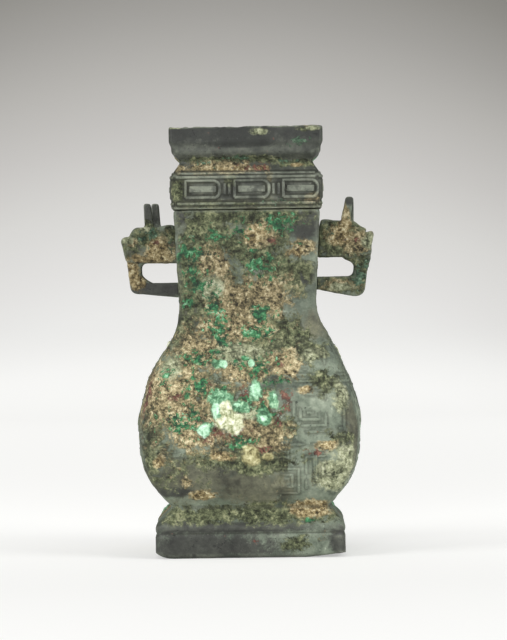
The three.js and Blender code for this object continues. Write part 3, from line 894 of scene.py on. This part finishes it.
# How far the front horn and the back horn of each handle stand to the right of where they
# would be on a perfect casting
HORN_OFFSET = {"right": (1.6, 5.2), "left": (-0.8, 5.0)}
# How much further the two horns lean to the right at their tips
HORN_LEAN = {"right": (2.4, -0.4), "left": (-0.6, 0.2)}
# Where the heads and loops are blunted, thickened or filled
HANDLE_PUSHES = {
    "right": [
        Push(111, 310.5, 13, 0, -6.5), Push(98, 277.5, 10, -2.6, -2.8), Push(115, 275, 15, 1.9, 0),
        Push(74, 311, 9, 0, 1.6),
    ],
    "left": [
        Push(-74, 304, 12, 0, 2.4), Push(-97, 256.5, 8, 2.0, 2.0), Push(-113, 306, 10, 0.8, -2.0),
    ],
}


def head_details(side, top):
    """The snout's curl, the eyes and the brows of a handle's head."""
    way = 1 if side == "right" else -1
    parts = []

    def place(spot, depth=0.0):
        return Vector((way * spot[0], depth, top / MM - spot[1])) * MM

    bpy.ops.mesh.primitive_cylinder_add(
        vertices=24, radius=CURL_RADIUS * MM, depth=CURL_LENGTH * MM,
        location=place(CURL), rotation=(math.pi / 2, 0, 0))
    parts.append(bpy.context.active_object)
    for half in (-1, 1):
        bpy.ops.mesh.primitive_uv_sphere_add(
            segments=20, ring_count=12, radius=EYE_RADIUS * MM,
            location=place(EYE, half * HEAD_HALF_WIDTH), scale=EYE_SHAPE)
        parts.append(bpy.context.active_object)
        bpy.ops.mesh.primitive_cylinder_add(
            vertices=16, radius=BROW_RADIUS * MM, depth=BROW_LENGTH * MM,
            location=place(BROW, half * (HEAD_HALF_WIDTH - BROW_SUNK)),
            rotation=(0, math.pi / 2 + way * BROW_SLOPE, 0))
        parts.append(bpy.context.active_object)
    return parts


def settle(piece, side, top):
    """Tilts the bar and shifts the horns as the casting did."""
    points = points_of(piece)
    across, back, up = points.T / MM
    low = points[:, 2].min() / MM
    root, more = DROOP[side]
    out = np.clip((np.abs(across) - DROOP_START) / DROOP_SPAN, 0, DROOP_PAST)
    share = np.clip(1 - (up - low) / BAR_TOP, 0, 1)
    points[:, 2] += (root + more * out) * share * MM
    rise = np.clip((up - top / MM + HORN_ROOT) / HORN_ROOT, 0, 1)
    tip = np.clip((up - top / MM) / HORN_HEIGHT, 0, 1)
    for horn, offset, lean in zip((back < 0, back >= 0), HORN_OFFSET[side], HORN_LEAN[side]):
        points[:, 0] += horn * (offset * rise + lean * tip) * MM
    set_points(piece, points)


def handle(side, spots, material):
    """A handle: an animal's head with two horns, over a loop."""
    piece = cast_copy(side + "_handle", "cast_" + side + "_handle")
    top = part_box(side + "_handle")[1].z - HORN_HEIGHT * MM
    parts = head_details(side, top)
    pick(piece)
    for part in parts:
        part.select_set(True)
    bpy.ops.object.join()
    regrain(piece, HANDLE_GRAIN, rounds=4)
    settle(piece, side, top)
    shove(piece, HANDLE_PUSHES[side])
    mark_edges(piece)
    corrode(piece, weather(piece, patches(piece, spots)), seed=12, depth=HANDLE_CORROSION)
    dress(piece, "vessel", side + "_handle", material)
    return piece


# Raised lines on the casting are the tops of round strips sunk into the metal: the strips'
# half width, how deep their middles lie, and how much deeper where crusts bury them
LINE_HALF_WIDTH = 1.9 * MM
LINE_DEPTH = 1.2 * MM
BAND_HALF_WIDTH = 1.8 * MM
BAND_DEPTH = 1.05 * MM
RELIEF_SINK = 1.1 * MM
LINE_STEP = 2.4
# How wide the grooves beside the lines are, how far a line stands proud where it has one, and how
# large the stretches are where the lines have worn away, all in millimetres
GROOVE_WIDTH = 1.5
LINE_SHOWN = 0.15
FADE_SIZE = 17
# How suddenly lines end at crusts and at worn stretches
BURIED_STEEPNESS = 2
FADE_STEEPNESS = 3
# How far a line's flank stands proud, over which it carries painted shade, and how far its top does
# before it is worn and carries a painted highlight, in millimetres
FLANK_TOP = 0.4
TOP_WORN_AND_HIGHLIT = 0.3
# How bare the tops of the lines are worn, and how strongly they carry a painted highlight
BELLY_WEAR_AND_HIGHLIGHT = 0.35
BAND_WEAR_AND_HIGHLIGHT = 0.8
# How far off the jar, in metres, a point of a drawing starts, and how squarely the metal that it
# falls on has to face it
DRAWN_FROM = 0.3
FACING_DRAWING = 0.25

# The squared spirals of the belly: where each starts, as a share of the half width of its
# side and in millimetres up, how many strokes it has, and which way round it runs
SPIRAL_PITCH = 5.8
SPIRALS = [
    (0.51, 134.4, 13, 1),
    (0.32, 71.3, 10, -1),
    (0.7, 82.8, 8, 1),
    (0.56, 185.9, 9, -1),
    (0.17, 184.0, 8, 1),
]
# The bars and hooks between the spirals: the corners of each, across as a share of the half
# width and in millimetres up
HOOKS = [
    [(0.79, 114.0), (0.89, 114.0), (0.89, 155.0), (0.79, 155.0)],
    [(0.79, 119.8), (0.84, 119.8), (0.84, 149.2), (0.79, 149.2)],
    [(0.34, 157.6), (0.73, 157.6)],
    [(0.33, 163.4), (0.86, 163.4), (0.86, 169.2), (0.74, 169.2)],
    [(0.06, 166.6), (0.27, 166.6), (0.27, 157.6), (0.06, 157.6)],
    [(0.42, 169.2), (0.66, 169.2)],
    [(0.34, 111.2), (0.73, 111.2)],
    [(0.06, 105.4), (0.87, 105.4), (0.87, 99.6), (0.6, 99.6)],
    [(0.06, 99.6), (0.34, 99.6), (0.34, 93.8), (0.06, 93.8)],
    [(0.5, 64.0), (0.5, 93.8), (0.57, 93.8), (0.57, 68.0)],
    [(0.06, 120.0), (0.06, 150.0), (0.12, 150.0)],
    [(0.06, 200.0), (0.3, 200.0)],
    [(0.42, 202.5), (0.68, 202.5)],
]


def squared_spiral(across, up, strokes, way):
    """The corners of a spiral of straight strokes that starts in the middle."""
    corners = [(across, up)]
    for stroke in range(strokes):
        length = (stroke // 2 + 1) * SPIRAL_PITCH
        level = stroke % 2 == 0
        forwards = 1 if stroke % 4 < 2 else -1
        across += way * forwards * length if level else 0
        up += 0 if level else forwards * length
        corners.append((across, up))
    return corners


def stepped(corners):
    """Points along a line of straight strokes, close enough to follow a curved wall."""
    points = [corners[0]]
    for start, end in zip(corners, corners[1:]):
        steps = max(1, round(math.dist(start, end) / LINE_STEP))
        for step in range(1, steps + 1):
            share = step / steps
            points.append(tuple(a + (b - a) * share for a, b in zip(start, end)))
    return points


def laid_on(carrier, side, across, up):
    """Where a point of a side's drawing falls on the metal, and which way the metal faces."""
    facing, along = outwards(side)
    far = Vector(facing * DRAWN_FROM + along * across * MM) + Vector((0, 0, up * MM))
    hit, place, normal, _ = carrier.ray_cast(far, Vector(-facing))
    if hit and normal.dot(Vector(facing)) > FACING_DRAWING:
        return place, normal
    return None, None


def raised_lines(name, carrier, drawings, half_width, depth_at):
    """Rounded strips laid along every drawn line. Where the metal turns away a line ends."""
    curve = bpy.data.curves.new(name, "CURVE")
    curve.dimensions = "3D"
    curve.bevel_depth = half_width
    curve.bevel_resolution = 3
    curve.use_fill_caps = True
    for side, corners in drawings:
        run = []
        for across, up in stepped(corners) + [(None, None)]:
            place = None
            if across is not None:
                place, normal = laid_on(carrier, side, across, up)
            if place is not None:
                run.append(place - normal * depth_at(place))
                continue
            if len(run) > 2:
                spline = curve.splines.new("POLY")
                spline.points.add(len(run) - 1)
                for point, spot in zip(spline.points, run):
                    point.co = (*spot, 1)
            run = []
    piece = bpy.data.objects.new(name, curve)
    bpy.context.scene.collection.objects.link(piece)
    pick(piece)
    bpy.ops.object.convert(target="MESH")
    return bpy.context.active_object


def mark_relief(carrier, relief, wear_and_shading):
    """Marks the flanks of raised lines, and the metal close beside them, as grooves that take painted
    shade, and the tops of the lines as worn, with a painted highlight.
    """
    lines = points_of(relief)
    tree = kdtree.KDTree(len(lines))
    proud = np.empty(len(lines))
    for index, point in enumerate(lines):
        _, place, normal, _ = carrier.closest_point_on_mesh(Vector(point))
        proud[index] = (Vector(point) - place).dot(normal) / MM
        if proud[index] > LINE_SHOWN:
            tree.insert(point, index)
    tree.balance()
    apart = np.array([tree.find(point)[2] for point in points_of(carrier)]) / MM
    store(carrier, "groove", np.clip(1 - (apart - GROOVE_WIDTH) / GROOVE_WIDTH, 0, 1))
    store(relief, "groove", np.clip(1.1 - proud / FLANK_TOP, 0, 1))
    store(relief, "worn", np.clip(proud / TOP_WORN_AND_HIGHLIT - 1, 0, 1) * wear_and_shading)


def belly_relief(carrier, places, material):
    """Squared spirals in low relief, sunk where the crusts have grown over them."""
    broad, narrow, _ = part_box("vessel_body")[1] / MM
    drawings = []
    for side in SIDES:
        half_width = broad if side in ("front", "back") else narrow
        for share, up, strokes, way in SPIRALS:
            for mirror in (-1, 1):
                corners = squared_spiral(share * half_width, up, strokes, way)
                drawings.append((side, [(mirror * across, height) for across, height in corners]))
        for hook in HOOKS:
            for mirror in (-half_width, half_width):
                drawings.append((side, [(mirror * share, height) for share, height in hook]))
    crusts = places["tan_crust"] + places["gold_crust"] + places["dusk"]

    def depth_at(place):
        buried = nearness(np.array([place]), crusts)[0] * BURIED_STEEPNESS + CREEP
        faded = noise.noise(place / (FADE_SIZE * MM)) * FADE_STEEPNESS
        return LINE_DEPTH + RELIEF_SINK * min(max(buried, faded, 0), 1)

    piece = raised_lines("belly_relief", carrier, drawings, LINE_HALF_WIDTH, depth_at)
    mark_relief(carrier, piece, BELLY_WEAR_AND_HIGHLIGHT)
    weather(piece, places)
    dress(piece, "vessel", None, material)


# The cells of the lid's band, in millimetres
CELL_PITCH = 45.5
CELL_SHIFT = 5
CELL_HALF_WIDTH = 15.9
CELL_LOW = 334
CELL_HIGH = 349.8
CELL_ROUND = 6
CELL_ARC_STEPS = 6
BAR_SIZE = (25, 2.6, 6)
BAR_ROUNDING = 1
DASH_HALF_SPACING = 2.25
DASH_ENDS = (337, 347)
BORDERS = (328.5, 352.9, 356.6)
BORDER_END = 64


def cell_drawing(middle, way):
    """A frame with a square end and a rounded one."""
    square = -CELL_HALF_WIDTH
    start = CELL_HALF_WIDTH - CELL_ROUND
    upper = []
    lower = []
    for step in range(CELL_ARC_STEPS + 1):
        turn = math.pi / 2 * step / CELL_ARC_STEPS
        across = start + CELL_ROUND * math.sin(turn)
        drop = CELL_ROUND * (1 - math.cos(turn))
        upper.append((across, CELL_HIGH - drop))
        lower.insert(0, (across, CELL_LOW + drop))
    outline = [(square, CELL_LOW), (square, CELL_HIGH), *upper, *lower, (square, CELL_LOW)]
    return [(middle + way * across, up) for across, up in outline]


def band_drawings():
    """Every line of the band, and the middle of every bar."""
    drawings = []
    bars = []
    for side in SIDES:
        broad = side in ("front", "back")
        shift = {"front": CELL_SHIFT, "back": -CELL_SHIFT}.get(side, 0)
        middles = [shift + place * CELL_PITCH for place in ((-1, 0, 1) if broad else (-0.5, 0.5))]
        for index, middle in enumerate(middles):
            way = {"front": 1, "back": -1}.get(side, 1 if index == 0 else -1)
            drawings.append((side, cell_drawing(middle, way)))
            bars.append((side, middle))
        for first, second in zip(middles, middles[1:]):
            for gap in (-DASH_HALF_SPACING, DASH_HALF_SPACING):
                dash = (first + second) / 2 + gap
                drawings.append((side, [(dash, end) for end in DASH_ENDS]))
        for height in BORDERS:
            drawings.append((side, [(-BORDER_END, height), (BORDER_END, height)]))
    return drawings, bars


def add_bar(carrier, side, middle):
    """The raised bar in the middle of a cell."""
    place, _ = laid_on(carrier, side, middle, (CELL_LOW + CELL_HIGH) / 2)
    bpy.ops.mesh.primitive_cube_add(
        size=1, location=place, rotation=(0, 0, math.radians(SIDES[side])),
        scale=[length * MM for length in BAR_SIZE])
    bar = bpy.context.active_object
    bpy.ops.object.transform_apply(location=True, rotation=True, scale=True)
    rounding = bar.modifiers.new("Rounding", "BEVEL")
    rounding.width = BAR_ROUNDING * MM
    rounding.segments = 3
    keep(bar, rounding)
    return bar


def lid_relief(carrier, places, material):
    """The band of framed bars round the lid, and the lines over and under it."""
    drawings, bars = band_drawings()
    piece = raised_lines(
        "lid_band_relief", carrier, drawings, BAND_HALF_WIDTH, lambda place: BAND_DEPTH)
    parts = [add_bar(carrier, side, middle) for side, middle in bars]
    pick(piece)
    for part in parts:
        part.select_set(True)
    bpy.ops.object.join()
    mark_relief(carrier, piece, BAND_WEAR_AND_HIGHLIGHT)
    weather(piece, places)
    dress(piece, "lid", None, material)


# The studio's sweep of paper, in metres: its floor's length and drop under the jar, its wall's
# height, how far from the corner its bend starts, and how far back an edge at its back lies
PAPER_LENGTH = 8
PAPER_DROP = 0.2 * MM
PAPER_HEIGHT = 3
PAPER_BEND = 1.6
PAPER_BACK = PAPER_LENGTH / 2 - 0.1


def studio():
    """A white floor that rises behind the jar into a wall greyed upwards by painted shade."""
    bpy.ops.mesh.primitive_plane_add(size=PAPER_LENGTH, location=(0, 0, -PAPER_DROP))
    sweep = bpy.context.active_object
    sweep.name = "studio_sweep"
    bpy.ops.object.mode_set(mode="EDIT")
    bpy.ops.mesh.select_mode(type="EDGE")
    bpy.ops.mesh.select_all(action="DESELECT")
    bpy.ops.object.mode_set(mode="OBJECT")
    for edge in sweep.data.edges:
        ends = [sweep.data.vertices[index].co for index in edge.vertices]
        edge.select = all(end.y > PAPER_BACK for end in ends)
    bpy.ops.object.mode_set(mode="EDIT")
    bpy.ops.mesh.extrude_region_move(TRANSFORM_OT_translate={"value": (0, 0, PAPER_HEIGHT)})
    bpy.ops.object.mode_set(mode="OBJECT")
    for edge in sweep.data.edges:
        ends = [sweep.data.vertices[index].co for index in edge.vertices]
        edge.select = all(end.y > PAPER_BACK and end.z < PAPER_HEIGHT / 2 for end in ends)
    bpy.ops.object.mode_set(mode="EDIT")
    bpy.ops.mesh.bevel(offset=PAPER_BEND, segments=24)
    bpy.ops.object.mode_set(mode="OBJECT")
    bpy.ops.object.shade_smooth()
    sweep.data.materials.append(studio_paper())


# Painted shade on the paper: how its colour darkens from the floor to a metre up its wall
PAPER_SHADING = [
    (0.0, "f4f4f2"), (0.08, "efefed"), (0.17, "e6e5e3"), (0.3, "dad9d6"), (0.435, "c9c7c4"),
    (0.57, "b8b6b2"), (0.7, "a4a29e"), (0.83, "908e89"), (1.0, "787671"),
]
# How far the tones start up the wall, in metres, and how they slant and bend from side to side
TONES_START = 0.0845
TONES_SLANT = 0.079
TONES_BEND = 0.367
# How the paper's glow changes along the floor, near and far behind the jar, and up the wall: from
# where to where, in metres, and by how much
NEAR_GLOW = (-0.35, 0.3, 0.5)
FAR_GLOW = (0.5, 2.3, 0.38)
WALL_GLOW = (0.02, 0.14, -0.25)
# How much of what the camera sees of the paper is its own glow
GLOW_SHARE = 0.4


def studio_paper():
    """Paper that is lit in part by a soft glow of its own, which only the camera sees."""
    finish = Finish("studio_paper")
    across, behind, up = (
        finish.node("ShaderNodeSeparateXYZ", {}, {"Vector": finish.place}, axis) * MM for axis in "XYZ")
    height = up + across * TONES_SLANT + across * across * TONES_BEND - TONES_START
    # Painted shade: the paper's colour darkens up the wall, more to the right and towards the sides.
    colour = finish.ramp(height, *PAPER_SHADING)
    finish.tree.links.new(colour.socket, finish.shader.inputs["Base Color"])
    finish.shader.inputs["Roughness"].default_value = 1.0
    finish.shader.inputs["Specular IOR Level"].default_value = 0.0

    def change(place, start, end, amount):
        return place.between(start, end) * amount

    strength = 1.0 + change(behind, *NEAR_GLOW) + change(behind, *FAR_GLOW) + change(up, *WALL_GLOW)
    glow = finish.node("ShaderNodeEmission", {}, {"Color": finish.dim(colour, strength)})
    rays = finish.node("ShaderNodeLightPath", output="Is Camera Ray")
    shown = finish.node("ShaderNodeMixShader", {}, {0: rays * GLOW_SHARE})
    finish.tree.links.new(finish.shader.outputs[0], shown.socket.node.inputs[1])
    finish.tree.links.new(glow.socket, shown.socket.node.inputs[2])
    output = finish.tree.nodes["Material Output"]
    finish.tree.links.new(shown.socket, output.inputs["Surface"])
    return finish.material


# The soft lamps: where each stands and how wide it is, in metres, and its power in watts
LAMPS = {
    "left_light": ((-2.2, -1.3, 1.2), 1.3, 41),
    "right_light": ((2.2, -1.2, 1.1), 1.3, 43),
    "front_light": ((-0.5, -2.6, 1.0), 1.3, 20),
    "top_light": ((0, -0.1, 2.2), 1.4, 7),
}
LAMPS_AIM = Vector((0, 0, 0.2))
# How strongly the air lights the jar, and how bright it looks past the ends of the paper
AIR_LIGHT = 0.33
AIR_SEEN = 0.86


def lighting():
    """Soft lamps round the jar and a pale air that fills the shadows."""
    for name, (place, width, power) in LAMPS.items():
        light = bpy.data.lights.new(name, "AREA")
        light.shape = "RECTANGLE"
        light.size = width
        light.size_y = width
        light.energy = power
        holder = bpy.data.objects.new(name, light)
        holder.location = place
        holder.rotation_euler = (LAMPS_AIM - Vector(place)).to_track_quat("-Z", "Y").to_euler()
        bpy.context.scene.collection.objects.link(holder)
    world = bpy.data.worlds.new("studio_air")
    bpy.context.scene.world = world
    world.use_nodes = True
    nodes = world.node_tree.nodes
    air = nodes["Background"]
    air.inputs["Color"].default_value = (1, 1, 1, 1)
    seen = nodes.new("ShaderNodeMapRange")
    seen.inputs["To Min"].default_value = AIR_LIGHT
    seen.inputs["To Max"].default_value = AIR_SEEN
    rays = nodes.new("ShaderNodeLightPath")
    world.node_tree.links.new(rays.outputs["Is Camera Ray"], seen.inputs["Value"])
    world.node_tree.links.new(seen.outputs[0], air.inputs["Strength"])


# The camera stands far away, almost straight in front and level with the neck, and is rolled
# slightly. It sees as far as the last of these lengths.
CAMERA_AZIMUTH = math.radians(0.4)
CAMERA_DISTANCE = 3000 * MM
CAMERA_HEIGHT = 287 * MM
CAMERA_ROLL = math.radians(0.73)
AIM_HEIGHT = 218.8 * MM
AIM_ASIDE = 4.9 * MM
LENS = 178.45
SIGHT = 20000 * MM


def camera():
    """The viewpoint of the photograph."""
    right = Vector((math.cos(CAMERA_AZIMUTH), math.sin(CAMERA_AZIMUTH), 0))
    out = Vector((math.sin(CAMERA_AZIMUTH), -math.cos(CAMERA_AZIMUTH), 0))
    place = out * CAMERA_DISTANCE + Vector((0, 0, CAMERA_HEIGHT))
    aim = right * AIM_ASIDE + Vector((0, 0, AIM_HEIGHT))
    view = bpy.data.cameras.new("camera")
    view.lens = LENS
    view.clip_end = SIGHT
    holder = bpy.data.objects.new("camera", view)
    turn = (aim - place).to_track_quat("-Z", "Y").to_matrix().to_4x4()
    holder.matrix_world = Matrix.Translation(place) @ turn @ Matrix.Rotation(-CAMERA_ROLL, 4, "Z")
    bpy.context.scene.collection.objects.link(holder)
    bpy.context.scene.camera = holder


body_bronze = bronze_patina("body_bronze", SMOOTH_GREY, SMOOTH_DARK, MALACHITE, rough=0.42, wear_and_shading=0.36)
lid_bronze = bronze_patina("lid_bronze", SMOOTH_LID, LID_DARK, DULL_GREEN, rough=0.36, wear_and_shading=0.85)
handle_bronze = bronze_patina(
    "handle_bronze", SMOOTH_GREY, SMOOTH_DARK, DULL_GREEN, rough=0.45, wear_and_shading=0.45)
clay = fired_clay()
for core in ("right_handle_clay_core", "left_handle_clay_core"):
    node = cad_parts[core]
    node.data.materials.clear()
    node.data.materials.append(clay)

cast_vessel, vessel_places = vessel(body_bronze)
belly_relief(cast_vessel, vessel_places, body_bronze)
cast_lid, lid_places = lid(lid_bronze)
lid_relief(cast_lid, lid_places, lid_bronze)
handle("right", RIGHT_HANDLE_SPOTS, handle_bronze)
handle("left", LEFT_HANDLE_SPOTS, handle_bronze)

camera()
lighting()
studio()
bpy.context.scene.view_settings.view_transform = "Standard"
